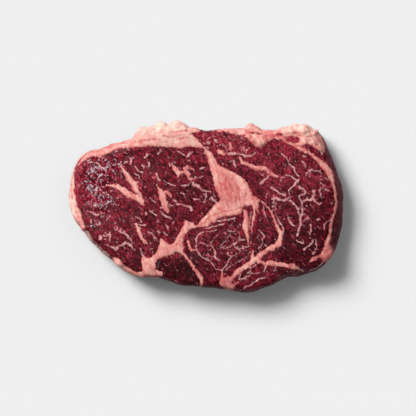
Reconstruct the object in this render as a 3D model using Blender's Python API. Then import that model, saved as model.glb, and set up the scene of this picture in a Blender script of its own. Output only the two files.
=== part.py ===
"""Raw boneless ribeye steak, one solid slice of meat lying flat on its lower cut face.

The slice is 190 mm long, 119 mm wide and about 26 mm thick. Its frame has +X along the slice, from the end of the
eye muscle to the cap, +Y towards the fat-covered edge and +Z up, with the origin under the middle of its box.
The upper cut face is a triangulated sheet with the swells and hollows of the muscles. From its edge, rings of points
run down the side, which bellies out by a skirt that differs round the slice and by soft lobes of fat, and tuck in
under it to the flat lower face.
"""

import math

import bmesh
import bpy
import numpy as np
from mathutils import Vector, noise
from mathutils.geometry import delaunay_2d_cdt

MM = 0.001

# Driving dimensions, in millimetres.
LENGTH = 190.0
WIDTH = 119.0
THICKNESS = 26.0
EDGE_ROUND_WIDTH = 5.0
EDGE_ROUND_DROP = 1.9
UNDERCUT = 2.4
GRAIN_RIPPLE = 0.35

# How finely the solid is faceted.
RIM_POINTS = 192
TOP_SPACING = 3.0
UNDERSIDE_SPACING = 5.6
INNER_RING_INSET = 1.8

# The edge of the upper cut face, clockwise from the left end: x, y, and how far the side bellies out past it there.
EDGE = [
    (-94.0, 7.0, 1.2),
    (-93.4, 15.0, 1.2),
    (-91.6, 24.5, 1.2),
    (-87.7, 32.8, 1.2),
    (-82.5, 37.8, 1.0),
    (-75.0, 39.3, 1.0),
    (-69.0, 42.2, 1.0),
    (-60.0, 44.7, 1.0),
    (-51.0, 47.0, 1.0),
    (-46.5, 50.8, 1.2),
    (-40.0, 53.2, 1.2),
    (-33.0, 54.2, 1.0),
    (-26.5, 55.5, 1.0),
    (-19.5, 56.5, 1.0),
    (-12.5, 55.2, 0.8),
    (-4.0, 52.9, 0.8),
    (6.0, 53.3, 0.9),
    (16.0, 54.1, 1.0),
    (24.5, 53.4, 1.2),
    (31.0, 52.4, 1.2),
    (38.0, 51.6, 1.4),
    (44.5, 52.2, 1.6),
    (54.0, 53.8, 1.4),
    (63.0, 56.2, 1.5),
    (69.5, 55.5, 1.8),
    (74.3, 51.4, 2.4),
    (77.8, 46.8, 3.6),
    (80.2, 41.5, 3.9),
    (82.7, 34.8, 4.0),
    (86.3, 26.0, 3.5),
    (89.0, 17.5, 4.0),
    (90.2, 9.0, 4.8),
    (89.9, 0.0, 4.8),
    (88.4, -8.5, 6.2),
    (87.0, -17.0, 5.8),
    (86.6, -25.0, 4.4),
    (85.9, -31.0, 2.6),
    (82.0, -37.0, 2.0),
    (75.6, -41.0, 2.5),
    (70.0, -42.8, 3.2),
    (65.0, -43.8, 4.4),
    (58.0, -44.7, 4.0),
    (51.0, -48.4, 1.6),
    (43.5, -53.3, 1.4),
    (36.0, -55.4, 2.0),
    (29.5, -57.2, 2.7),
    (22.0, -56.8, 2.2),
    (13.0, -55.9, 1.5),
    (2.0, -54.6, 1.5),
    (-10.0, -53.8, 1.2),
    (-20.0, -52.4, 1.6),
    (-27.5, -49.0, 1.6),
    (-36.0, -47.9, 1.2),
    (-46.5, -47.5, 1.3),
    (-53.5, -44.0, 2.0),
    (-61.0, -38.0, 2.0),
    (-70.0, -30.5, 1.8),
    (-78.0, -22.3, 2.0),
    (-84.3, -14.2, 2.0),
    (-89.0, -8.6, 1.8),
    (-92.6, -1.5, 1.5),
]

# Lobes of soft fat on the side: x and y beside the edge, half width along it, and how far each one pushes out.
LOBES = [
    (-45.5, 51.6, 4.4, 2.2),
    (-39.5, 53.4, 4.0, 1.3),
    (-31.2, 54.6, 4.4, 4.4),
    (-20.8, 56.4, 4.2, 3.0),
    (31.2, 52.4, 4.6, 4.8),
    (36.8, 51.8, 3.6, 2.6),
    (53.0, 53.6, 4.0, 0.8),
    (66.5, 56.0, 5.0, 1.0),
    (75.6, 50.2, 3.0, 1.3),
    (-69.5, -31.0, 3.2, 0.7),
    (-59.5, -39.0, 3.4, 0.6),
]

# Swells (+) and hollows (-) of the upper face: x, y, reach along, reach across, turn in degrees, rise.
SWELLS = [
    (-38.0, 4.0, 34.0, 26.0, 15.0, 1.3),
    (-102.0, 6.0, 34.0, 46.0, 0.0, -6.5),
    (-73.0, -40.0, 20.0, 10.0, -40.0, -2.4),
    (-30.0, 52.0, 34.0, 7.0, 4.0, 0.9),
    (-8.0, 34.0, 12.0, 5.0, -50.0, -0.6),
    (18.0, 12.0, 12.0, 13.0, 0.0, 0.8),
    (34.0, 46.5, 7.0, 4.5, 10.0, 1.2),
    (62.0, 8.0, 22.0, 30.0, 0.0, 1.2),
    (63.0, 53.0, 15.0, 5.0, 10.0, -1.0),
    (6.0, -30.0, 17.0, 13.0, 35.0, 0.9),
    (-20.0, -44.0, 12.0, 8.0, 0.0, -1.0),
    (30.0, -50.0, 18.0, 6.0, 20.0, -1.2),
    (66.0, -50.0, 20.0, 9.0, 8.0, -5.0),
    (91.0, -14.0, 9.0, 34.0, 0.0, -2.2),
    (84.0, 42.0, 8.0, 16.0, 25.0, -2.6),
]

# The side, from the edge of the upper face down: share of the height, of the skirt and of the lobes.
SIDE_LEVELS = [
    (0.84, 0.50, 0.12),
    (0.66, 0.92, 0.80),
    (0.44, 1.00, 0.92),
    (0.20, 0.72, 0.25),
]


def closed_curve(points, count):
    """count evenly spaced points on a smooth closed curve through points, with their third value carried along."""
    control = np.array(points, float)
    dense = []
    for i in range(len(control)):
        p0, p1, p2, p3 = (control[(i + k) % len(control)] for k in (-1, 0, 1, 2))
        for t in np.linspace(0, 1, 24, endpoint=False):
            dense.append(
                0.5 * (2 * p1 + (p2 - p0) * t + (2 * p0 - 5 * p1 + 4 * p2 - p3) * t**2
                       + (3 * p1 - p0 - 3 * p2 + p3) * t**3)
            )
    dense = np.array(dense + dense[:1])
    steps = np.linalg.norm(np.diff(dense[:, :2], axis=0), axis=1)
    along = np.concatenate([[0], np.cumsum(steps)])
    wanted = np.linspace(0, along[-1], count, endpoint=False)
    return np.stack([np.interp(wanted, along, dense[:, k]) for k in range(3)], axis=1)


def outward(ring):
    """Unit normals in plan that point out of a clockwise ring."""
    tangent = np.roll(ring, -1, axis=0) - np.roll(ring, 1, axis=0)
    normal = np.stack([-tangent[:, 1], tangent[:, 0]], axis=1)
    return normal / np.linalg.norm(normal, axis=1)[:, None]


def lobe_push(edge):
    """How far the lobes of fat push the side out at each point of the edge."""
    push = np.zeros(len(edge))
    for x, y, half_width, reach in LOBES:
        away = np.hypot(edge[:, 0] - x, edge[:, 1] - y)
        push = np.maximum(push, reach * np.exp(-((away / half_width) ** 2)))
    return push


def swell(x, y):
    """Height of the swells and hollows at a point of the upper face."""
    rise = 0.0
    for cx, cy, along, across, turn, height in SWELLS:
        cos, sin = math.cos(math.radians(turn)), math.sin(math.radians(turn))
        u = ((x - cx) * cos + (y - cy) * sin) / along
        v = ((y - cy) * cos - (x - cx) * sin) / across
        rise += height * math.exp(-u * u - v * v)
    return rise


def distance_to(ring, x, y):
    return float(np.hypot(ring[:, 0] - x, ring[:, 1] - y).min())


def top_height(edge, x, y):
    """Height of the upper face, which rounds off towards its edge."""
    inside = min(1.0, distance_to(edge, x, y) / EDGE_ROUND_WIDTH)
    ripple = GRAIN_RIPPLE * noise.noise(Vector((x / 9.0, y / 9.0, 0.0)))
    return THICKNESS + swell(x, y) + ripple - EDGE_ROUND_DROP * (1 - inside) ** 2


def add_ring(bm, plan, heights):
    return [bm.verts.new((x * MM, y * MM, z * MM)) for (x, y), z in zip(plan, heights)]


def add_band(bm, upper, lower):
    """Faces between two rings of the same number of points."""
    count = len(upper)
    for i in range(count):
        j = (i + 1) % count
        bm.faces.new((upper[i], upper[j], lower[j], lower[i]))


def lattice(boundary, spacing):
    """Points of a triangular lattice that lie inside a ring, clear of it by most of a spacing."""
    low, high = boundary.min(axis=0), boundary.max(axis=0)
    row_step = spacing * math.sqrt(3) / 2
    following = np.roll(boundary, -1, axis=0)
    found = []
    for row, y in enumerate(np.arange(low[1], high[1], row_step)):
        for x in np.arange(low[0] + (row % 2) * spacing / 2, high[0], spacing):
            straddles = (boundary[:, 1] > y) != (following[:, 1] > y)
            a, b = boundary[straddles], following[straddles]
            crossing = a[:, 0] + (y - a[:, 1]) * (b[:, 0] - a[:, 0]) / (b[:, 1] - a[:, 1])
            inside = np.count_nonzero(crossing > x) % 2 == 1
            if inside and distance_to(boundary, x, y) > 0.75 * spacing:
                found.append((x, y))
    return found


def add_cap(bm, ring, spacing, height, facing_up):
    """Fills a ring with triangles over a lattice, whose points stand at height(x, y)."""
    boundary = np.array([(v.co.x, v.co.y) for v in ring]) / MM
    inner = lattice(boundary, spacing)
    verts = list(ring) + [bm.verts.new((x * MM, y * MM, height(x, y) * MM)) for x, y in inner]
    plan = [Vector(p) for p in boundary] + [Vector(p) for p in inner]
    loop = [(i, (i + 1) % len(ring)) for i in range(len(ring))]
    _, _, faces, sources, _, _ = delaunay_2d_cdt(plan, loop, [], 1, 1e-7)
    for face in faces:
        corners = [verts[sources[i][0]] for i in face]
        bm.faces.new(corners if facing_up else corners[::-1])


def steak_mesh():
    curve = closed_curve(EDGE, RIM_POINTS)
    edge, skirt = curve[:, :2], curve[:, 2]
    normal = outward(edge)
    lobes = lobe_push(edge)
    rim_height = np.array([top_height(edge, x, y) for x, y in edge])

    bm = bmesh.new()
    inner = edge - normal * INNER_RING_INSET
    inner_ring = add_ring(bm, inner, [top_height(edge, x, y) for x, y in inner])
    add_cap(bm, inner_ring, TOP_SPACING, lambda x, y: top_height(edge, x, y), facing_up=True)

    upper = add_ring(bm, edge, rim_height)
    add_band(bm, inner_ring, upper)
    for height_share, skirt_share, lobe_share in SIDE_LEVELS:
        reach = skirt * skirt_share + lobes * lobe_share
        lower = add_ring(bm, edge + normal * reach[:, None], rim_height * height_share)
        add_band(bm, upper, lower)
        upper = lower
    foot = add_ring(bm, edge - normal * UNDERCUT, np.zeros(RIM_POINTS))
    add_band(bm, upper, foot)
    add_cap(bm, foot, UNDERSIDE_SPACING, lambda x, y: 0.0, facing_up=False)

    bmesh.ops.triangulate(bm, faces=[f for f in bm.faces if len(f.verts) > 3])
    bmesh.ops.recalc_face_normals(bm, faces=bm.faces)
    centre_on_origin(bm)
    mesh = bpy.data.meshes.new("steak")
    bm.to_mesh(mesh)
    bm.free()
    mesh.shade_smooth()
    return mesh


def centre_on_origin(bm):
    """Scales the solid to its length and width, and puts the middle of its box over the origin."""
    points = np.array([v.co for v in bm.verts])
    low, high = points.min(axis=0), points.max(axis=0)
    scale = Vector((LENGTH * MM / (high[0] - low[0]), WIDTH * MM / (high[1] - low[1]), 1.0))
    middle = Vector(((low[0] + high[0]) / 2, (low[1] + high[1]) / 2, low[2]))
    for vert in bm.verts:
        vert.co = (vert.co - middle) * scale


def raw_meat():
    material = bpy.data.materials.new("raw_meat")
    material.use_nodes = True
    shader = material.node_tree.nodes["Principled BSDF"]
    shader.inputs["Base Color"].default_value = (0.150, 0.014, 0.021, 1.0)
    shader.inputs["Roughness"].default_value = 0.42
    shader.inputs["Metallic"].default_value = 0.0
    return material


def main():
    for obj in list(bpy.data.objects):
        bpy.data.objects.remove(obj)
    mesh = steak_mesh()
    mesh.materials.append(raw_meat())
    bpy.context.scene.collection.objects.link(bpy.data.objects.new("steak", mesh))


main()
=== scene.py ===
"""Looks of a raw ribeye steak that lies flat, seen from straight above.

The CAD solid gives the slice its form. This script wraps it in a finer skin, draws the anatomy of a rib
steak on it as distances to seams, kernels and flecks of fat, raises that fat a little, and paints lean and
fat with one material. Everything about the anatomy is in millimetres, in the steak's own frame: +X along
the slice, +Y towards the fat cap.
"""

import math
import random

import bpy
import numpy as np
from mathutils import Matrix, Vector, noise
from mathutils.bvhtree import BVHTree
from mathutils.geometry import delaunay_2d_cdt


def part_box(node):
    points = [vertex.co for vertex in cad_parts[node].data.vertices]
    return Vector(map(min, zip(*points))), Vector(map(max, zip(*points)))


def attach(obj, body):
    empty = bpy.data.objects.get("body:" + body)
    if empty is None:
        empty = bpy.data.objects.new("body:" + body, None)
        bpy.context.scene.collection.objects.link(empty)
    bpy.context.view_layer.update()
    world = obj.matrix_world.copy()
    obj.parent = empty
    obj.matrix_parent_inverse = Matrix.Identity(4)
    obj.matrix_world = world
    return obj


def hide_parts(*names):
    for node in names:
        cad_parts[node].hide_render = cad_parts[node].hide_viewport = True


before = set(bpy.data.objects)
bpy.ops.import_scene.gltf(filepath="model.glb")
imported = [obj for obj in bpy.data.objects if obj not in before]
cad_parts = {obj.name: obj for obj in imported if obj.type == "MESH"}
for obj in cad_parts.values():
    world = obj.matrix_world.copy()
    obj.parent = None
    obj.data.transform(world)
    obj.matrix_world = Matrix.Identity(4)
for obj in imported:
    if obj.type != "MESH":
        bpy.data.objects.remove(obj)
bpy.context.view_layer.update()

MM = 0.001
TINY = 1e-6

# The skin: how finely it is meshed and probed, in millimetres and counts.
COLUMNS = 640
TOP_SPACING = 0.56
UNDERSIDE_SPACING = 2.2
ROW_STEPS = [(0.0, 0.60), (8.5, 0.90), (32.0, 1.60)]
SIDE_RUN = 26.0
RIM_ROW = 14
PIVOT_INSET = 7.0
PIVOT_HEIGHT = 11.0
FAN_RAYS = 120
OUTLINE_RAYS = 1801
OUTLINE_LEVELS = (0.12, 0.85, 9)
RAY_START = 5.0
ROUNDS_ALONG = 10
ROUNDS_DOWN = 5
TOP_ROUNDS = 14
LATTICE_MARGIN = 0.7
LINE_STEPS = 6

# Relief of what is drawn: its rise, and how far outside and inside its edge that starts and ends.
DRAWN_RELIEF = {
    "fat_mm": (0.24, -0.4, 2.2),
    "vein_mm": (0.05, -0.4, 0.3),
    "thread_mm": (-0.12, -0.4, 0.4),
    "crack_mm": (-0.7, -0.7, 0.3),
    "dry_mm": (0.35, -0.4, 0.5),
}
# The groove round the fat: its depth, its distance from the fat's edge and its width.
SEAM_GROOVE = (0.14, 0.2, 0.55)

# Noise in the relief: its rise, the size of its features and its place in the noise.
SKIN_WAVES = [(0.30, 8.0, 0.0), (0.10, 3.0, 7.0), (0.04, 1.5, 19.0)]
WET_WAVES = [(0.60, 5.2, 71.0)]
FAT_WAVES = [(0.10, 2.2, 45.0)]
SIDE_WAVES = [(0.55, 6.5, 31.0), (0.22, 2.6, 57.0)]

# Drawn-out noise: its rise, direction in degrees, size across and along, and place in the noise.
WET_RIPPLES = [(0.44, -50, 1.7, 4.2, 61.0), (0.48, 62, 1.6, 3.4, 83.0)]
LEAN_RIPPLES = [(0.08, 45, 2.2, 14.0, 3.0)]
FAT_RIPPLES = [(0.22, -72, 3.0, 12.0, 9.0)]

# Nodules on the rim of the fat cap: their rise, size and middle level, and where they set in.
NODULE_RISE = 0.8
NODULE_SIZE = 6.0
NODULE_LEVEL = 0.6
CAP_FROM = (20, 40)
RIM_GAPS = (7.0, 2.0)

LUMP_WAVE = 3.2
UNDERSIDE_SHARE = 0.25

# How the pattern of the slice shifts below the rim, where it is pulled in a little so that the fat wraps over.
RIM_PULL = 1.5
DEPTH_STRETCH = 1.6
WANDER = 2.4
WANDER_SIZE = 13.0
WANDER_DEPTHS = (1.0, 12.0)

# How far the outlines of fat and veins wander: sizes and amounts of the noise, in millimetres.
SEAM_WARP = [(5.0, 0.6), (2.2, 0.7), (1.2, 0.25)]
VEIN_WARP = [(5.0, 0.8), (2.4, 0.6), (1.3, 0.2)]

FIELD_REACH = 4.0
SEED = 11

# Closed outlines of the fat that is more than a line: cap along the upper edge, kernels between the muscles.
FAT_BODIES = {
    "cap": [
        (-100, -18), (-83.2, -15), (-84.4, -10), (-86.4, -4), (-88.2, 0), (-90, 5), (-91, 10), (-91.2, 16),
        (-91, 23), (-89, 28), (-86, 31), (-83, 32.5), (-79, 35), (-72, 35), (-65, 38.3), (-60, 40),
        (-55, 41), (-46, 41.5), (-40, 42.3), (-33, 42), (-27, 41.5), (-20, 41), (-15, 41), (-10, 41.8),
        (-5, 41), (-3, 43), (-6, 47), (-11, 50), (-8, 51.8), (-2, 53), (-2, 66), (-105, 66),
    ],
    "kernel": [
        (-11, 50), (-6, 47), (-3, 43), (2, 39), (5, 36), (6, 33), (8, 30), (13, 27), (19, 24), (24, 21),
        (28, 17), (29.5, 13), (30.5, 11), (32.5, 8.5), (35, 6.5), (37.5, 5), (36.3, 3), (35.5, 0), (37, -5),
        (33, -0.5), (31, 1), (28.5, 1), (26, 1), (25, -2), (23, -4.5), (19, -5.5), (13, -6.5), (8, -8),
        (6, -10), (3, -11), (0, -13), (-4, -13.5), (-8, -14), (-11, -15), (-14, -18), (-15.5, -22),
        (-16, -27), (-16, -32), (-20, -31), (-25, -33), (-30, -34.5), (-34.5, -38), (-34, -43),
        (-30, -44.5), (-31, -47.6), (-45, -47.2), (-44, -43), (-44.6, -36), (-43, -34), (-40, -35),
        (-37, -34), (-34, -30), (-32, -25), (-31, -21.5), (-28, -24), (-25, -25.5), (-22, -24), (-20, -20),
        (-17, -15), (-15, -10), (-12, -9.5), (-10, -10), (-8, -12), (-5, -10.5), (0, -5), (3, -2), (5, 1),
        (7, 3), (9, 4), (8.5, 8), (7, 11), (5.5, 15), (4.5, 20), (3, 25), (1.5, 31), (0, 36), (-2, 40),
        (-5, 41), (-12, 44),
    ],
    "shoulder": [
        (77, 53), (79, 49), (81, 45), (82, 41), (80, 36.5), (77, 39), (73, 41.8), (69, 43.4), (65.5, 42.2),
        (61, 42.2), (57, 43.2), (53, 45.2), (50, 46.6), (45, 47), (42, 44.5), (40, 42), (36, 41.3),
        (33, 42.5), (31, 44.5), (29, 46), (27, 48), (26, 49.5), (24, 49.5), (20, 49.6), (17, 51), (12, 52),
        (7, 52.4), (3, 53), (3, 66), (84, 66),
    ],
    "foot": [
        (10.5, -44), (11.5, -45), (12, -48), (15, -47.5), (17, -48.5), (16.5, -51), (18, -52.5),
        (22, -51.5), (20, -54), (18, -57), (13, -56), (9, -53), (9.5, -50), (10, -47),
    ],
    "heel": [
        (87, -28.5), (87.2, -31), (86, -34), (83.5, -36), (82.5, -39), (80, -36), (78, -34.5), (75, -36.5),
        (72, -37.5), (70.5, -38.5), (72, -36), (74, -34), (78, -33), (80, -31), (81.5, -28), (83, -24),
    ],
}

# Muscle that shows inside the fat of the shoulder: middle, half length, half width, turn in degrees.
MUSCLE_IN_FAT = [(59.4, 46.8, 4.4, 2.5, -6.0), (50.2, 50.2, 2.2, 1.0, 10.0)]

# Seams and broad streaks of fat: widths at even stations along a smooth line, then the line's points.
SEAMS = [
    ((2.0, 1.2), [(-12.5, -23.5), (-12, -26), (-10, -29.5), (-6.5, -29.5)]),
    ((1.3, 2.0, 3.0, 1.4), [(-16, -31), (-11, -38), (-5, -47), (-3, -50), (-4, -55)]),
    ((2.4, 4.2, 3.2, 0.9), [(27, -3), (27, -9.5), (27, -14), (28, -19), (28.7, -24.5)]),
    ((2.0, 0.9), [(33, 0), (33, -5), (31.5, -13), (31.5, -17)]),
    ((1.2, 2.4, 3.8, 3.4, 3.2, 3.0), [(46, -7), (49.5, -15), (51, -19), (50.5, -23), (48.5, -26),
        (44, -28.5), (40, -31), (37, -33), (35.5, -35), (36, -37)]),
    ((0.9, 0.9, 1.2), [(38, 4.5), (43, -1), (45, -4), (46, -7)]),
    ((3.2, 3.6, 3.2, 3.0), [(36, -36), (33, -36), (30, -39), (25, -42), (21, -45), (18, -48), (16, -51)]),
    ((0.8, 2.0, 3.6), [(32, -29.5), (32, -36)]),
    ((3, 2, 3, 3.5, 2.5, 3.5, 2, 0.8), [(36, -36.5), (38, -38), (41, -39), (45, -38.5), (49, -39),
        (54, -40), (58, -40.5), (61, -41.5), (64, -43), (67, -44)]),
    ((1.2, 2.2, 2.6, 2.0, 2.2, 3.4, 4.2, 3.8, 2.2, 1.8, 1.7, 2.2, 1.8, 1.8, 2.4, 3.2, 4.0, 5.0), [
        (57, 43.8), (61, 42.6), (65, 40.6), (69, 38.5), (72.5, 36), (76, 33.2), (79, 30.4), (82, 27.6),
        (84.5, 24.5), (86, 20.5), (87.3, 16), (88.3, 12), (89, 8), (89.1, 2), (88.6, -3), (87.3, -6),
        (86.2, -10), (85.4, -15), (84.6, -20), (83.3, -25), (82, -29), (81.5, -33)]),
    ((0.8, 1.6, 3.0, 4.2, 4.0, 3.4, 4.2, 2.6, 0.8), [(-69, 15.5), (-65, 15), (-61, 14), (-57, 12), (-53, 9),
        (-49, 7), (-45, 5), (-43.5, 3), (-42.5, 2)]),
    ((1.3, 2.2, 3.4, 3.8, 2.6, 1.2), [(-60, 30), (-58, 28), (-56.5, 25), (-54, 21), (-51, 18), (-49, 14),
        (-47.5, 11), (-46, 9.5), (-44, 5)]),
    ((1.0, 2.2, 4.0, 4.0, 4.5, 4.2, 2.4, 0.8), [(-34.5, 15), (-32, 12), (-30.5, 9.5), (-30, 6), (-28.5, 3),
        (-28, 0), (-27, -2), (-26, -3.5)]),
    ((2.6, 1.8), [(-30, 10.5), (-27, 10.5), (-24.5, 7.5)]),
    ((1.2, 2.4, 3.4, 1.6), [(-23.5, 30), (-22, 27.5), (-20.5, 25.5), (-19.5, 23.5), (-19.5, 21.5)]),
    ((1.8, 2.6, 3.0, 1.8, 0.8), [(-19.5, 24), (-16, 24), (-14, 25), (-14.5, 27), (-12.5, 27.5),
        (-8.5, 26)]),
    ((2.4, 1.5), [(-14, 24.5), (-12.5, 22.5), (-11.5, 20), (-10.5, 18.5)]),
    ((1.4, 2.8, 2.2, 0.8), [(-48, -11), (-46, -17), (-43, -23), (-40.5, -25.5)]),
    ((1.6, 3.0, 3.0, 3.6), [(-57, -41.6), (-52, -44.4), (-48, -46), (-44, -46.2)]),
    ((2.6, 4.4, 4.2, 2.6), [(-63, -35.8), (-60.4, -38), (-58, -41), (-55.6, -43.4)]),
    ((0.8, 1.8, 1.0), [(-70.5, -32), (-67.5, -34.6), (-64.4, -37)]), ((3.4, 2.6), [(9, 38.5), (12, 37)]),
    ((2.2, 2.2), [(16.5, 44), (17, 40.5)]),
    ((2.0, 2.6, 2.8, 2.4, 1.6), [(23, 34), (25, 31), (28, 30), (31, 28.5), (34, 27), (38, 27), (41, 26.5),
        (43, 24), (46, 22.5), (49, 21.5)]),
]

# Thin veins and small flecks of marbling: the lines that have each set of widths.
VEINS = {
    (1.1,): [
        [(-2, -17), (-5, -18.5), (-6.5, -21), (-6.7, -25), (-7, -29), (-5, -32), (-2, -35), (2, -37),
         (5, -40), (7, -42.5), (11, -43.5)],
    ],
    (0.9,): [
        [(-6.5, -24.5), (-3, -25), (0, -26), (3, -25.5), (4, -23), (7.5, -19.5)],
        [(29.5, -44.5), (31.5, -41.5), (34, -39.5)], [(36, -8), (37, -10)],
    ],
    (1.0, 1.6): [[(3.5, -25.5), (6, -31), (6, -34), (9, -37)]],
    (0.8,): [
        [(1, -32), (3, -34), (5, -34.5)], [(20.5, -27.5), (23, -28.5), (27, -27.5), (31, -27)],
        [(28, -46), (30, -44.5), (33, -45.5), (37, -45)],
    ],
    (1.5, 1.0, 0.8): [
        [(11, -44), (11.5, -42.5), (13.5, -40), (16.5, -34.5), (19, -32.5), (22, -31.5), (23, -30),
         (20, -27.5), (20, -25.5), (21.5, -23)],
    ],
    (1.0,): [
        [(11.5, -28.5), (14, -28.5), (19, -25.5), (22.5, -21), (22, -18.5), (20, -17), (16, -16.5),
         (15, -15)],
        [(31, -3), (30, -9), (30.5, -15)], [(-1, -14.5), (5, -13.5), (9, -12), (12.5, -11.5)],
        [(0, -17), (4, -16.5), (7, -15)], [(47, 4.5), (46, 3)], [(50.5, 18), (52, 20), (54.5, 21)],
        [(73, 25.5), (76, 25), (79.5, 22.5)], [(68.5, 22), (69, 24), (71.5, 21)],
        [(81.5, 12.5), (84.5, 11.5)], [(77, 12), (78.5, 9.5), (79.5, 6)],
        [(70, -6), (68.5, -8.5), (67, -10)], [(62.5, -22.5), (64, -24), (66, -24.5)],
        [(75.5, -22), (75.5, -26), (74.7, -29)], [(38.8, 1), (39.5, -3), (41, -6)],
        [(-25, 2), (-21.5, 0.3)], [(-52, -25.5), (-49.5, -24.5)], [(-75.5, 14), (-76, 9)],
    ],
    (1.5,): [
        [(23, -22.5), (26, -22.5)], [(42.5, 22), (40.5, 19.5), (37.5, 16)],
        [(66, 31), (67, 29.5), (68.5, 28.5)], [(-10, 38.5), (-11.5, 36.5), (-12.7, 34.5)],
        [(-66, -17), (-66.5, -20), (-66, -22.5)],
    ],
    (1.2,): [
        [(48.5, -6), (50, -10), (52.5, -14), (53, -19)],
        [(20.5, -46.5), (22.5, -45.5), (23, -47), (21.7, -49.5), (24, -49.5), (28, -48), (30, -46.5)],
        [(26, -56), (30, -53.5), (34, -51.5), (36, -49.5), (40, -48.5)],
        [(82, -36), (78, -39), (75, -41.5), (71, -43)], [(26, 35), (32, 35.5)],
        [(57, 4.5), (60, 2), (62.5, -1.5), (64.2, -6.5)], [(73.5, 5.5), (77, 2.5), (78.5, 3)],
        [(78.5, 13), (80, 13.5), (81.5, 15.5)], [(81, -14.5), (81.3, -12), (83, -9.7), (86, -9.5)],
        [(37, -16.5), (40, -20), (38.5, -21.5), (38.5, -24), (36, -28)], [(3.5, 7.5), (2.5, 5.5)],
        [(-28.5, 18), (-26.5, 16.5), (-21.5, 14.8)], [(-19.5, 38.5), (-18, 37.5), (-15, 36)],
        [(-49.5, -11), (-47, -12), (-42, -12.5)], [(-62, -13.5), (-60, -16), (-54.5, -19.5), (-50.5, -24)],
        [(-68, -26), (-66, -27), (-63, -28)], [(-68.5, -8.5), (-66, -6)], [(-71, 10), (-68, 9), (-65.5, 7)],
        [(-38.5, 6.5), (-37, 5), (-35, 3)], [(-33.5, -16.5), (-32, -17.5)],
        [(-40, -17), (-37, -19), (-33.5, -22)],
    ],
    (2.0, 1.0): [[(41, -40), (40.5, -42), (39.5, -44)]],
    (1.2, 0.8): [[(8, -9.5), (13, -9), (17, -8), (20, -7.5)]],
    (1.8, 1.4): [[(15, 37), (20, 37), (25, 36.5), (30, 36), (34, 37.5)]],
    (2.4, 1.4): [[(18.5, 32), (20, 28.5)]],
    (2.5,): [[(1, 45), (1.5, 44.5)]],
    (2.0,): [[(1, 41.5), (1.4, 41)], [(76.8, -8.5), (77.3, -8.2)]],
    (1.0, 1.8, 1.8, 0.8): [[(44, 14), (47, 12), (50, 10), (53.5, 8.5), (54, 7)]],
    (2.0, 1.4, 0.7): [[(45, 6), (48, 6), (51, 5), (55, 5.5), (59, 7.5)]],
    (1.2, 2.0, 1.5): [
        [(64.5, 7), (65, 4), (66, 0), (65.8, -4), (64.5, -7), (64.5, -12), (63.5, -15), (62.3, -20)],
    ],
    (1.3, 1.7): [[(64.5, 7), (65, 8), (67, 9.5), (67.3, 12), (64, 14)]],
    (1.8,): [
        [(67, 4.5), (69, 5.3), (72.5, 5.5), (74, 10), (73.7, 11.5)],
        [(-32, -3), (-30, -4.5), (-27, -6), (-24.5, -7.5)], [(3.5, 7.5), (5, 5), (7, 3)],
        [(-42.5, 34.5), (-41, 35), (-40.5, 37)], [(-52, 33.5), (-52, 30)],
        [(-34, 23), (-33.5, 20.5), (-32.5, 18.5)],
    ],
    (2.0, 1.2, 0.8): [[(62.8, 18.5), (60, 15), (57, 11.5), (57.3, 9)]],
    (1.6, 1.0): [[(62.5, 18.5), (60, 20), (57, 21.5), (55, 22)]],
    (1.3,): [
        [(52, 36.5), (54.5, 34.5), (58, 29), (60, 26.5), (63.5, 21)], [(56, -8), (59, -11), (61.5, -13)],
        [(71.5, -11.5), (72, -15), (71.5, -18.5)], [(66.5, -29), (71, -26), (73, -24.5), (73.2, -22.5)],
        [(-80.5, 31), (-78, 31), (-75, 30.5), (-71, 26.5), (-69, 25)],
        [(-10.5, 18), (-11.5, 16), (-13.5, 15), (-16.5, 15)], [(-0.5, 9.5), (-1, 4), (-2, 3)],
        [(-17, 10), (-15, 8.8)], [(-4, 26.5), (-1.5, 27)], [(-39.5, 31), (-39, 28)],
        [(-31, 40), (-31, 38.5), (-33, 37)], [(-48.5, 28), (-46.5, 25.5), (-44, 24)],
        [(-49.5, 23.5), (-47, 22)], [(-48, -7), (-45.5, -8), (-44.5, -10)],
        [(-38.5, -2.5), (-36, -4), (-34.5, -5.5)], [(-28, -11.5), (-26, -14)], [(-23, -12), (-22.5, -10)],
        [(-29, -16.5), (-27, -19)], [(-22, 5.5), (-20.5, 4)], [(-8.5, 5.5), (-5, 5.5)],
    ],
    (2.2,): [[(74, -31.5), (74.4, -31)]],
    (1.4,): [
        [(-31.5, 0), (-28.5, -1)], [(-44, 29.5), (-42.5, 27.5)], [(-79.5, -3), (-77, -5), (-74, -5)],
        [(-45, -29), (-44, -32), (-43, -34)],
    ],
    (1.2, 2.4): [[(-20, 2.5), (-14, 1), (-11, 0), (-10, -1.5)]],
    (1.5, 0.8): [[(-10.5, 18.8), (-8, 20), (-5, 20.5), (-2, 22)]],
    (1.3, 2.3, 1.3): [[(-9.5, 17), (-8.5, 15), (-6, 15), (-4, 13), (2.5, 10.5)]],
    (2.6,): [[(-62.2, -28.5), (-61.6, -28.3)], [(-73, -21.6), (-73, -20.4)]],
    (1.0, 2.2, 1.2): [[(-60, -27), (-56, -24.5), (-52, -26), (-50, -29.5)]],
    (1.6,): [[(-79.5, -10.6), (-79.5, -8.8)], [(-41, -3.5), (-41, -5)]],
}

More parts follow.
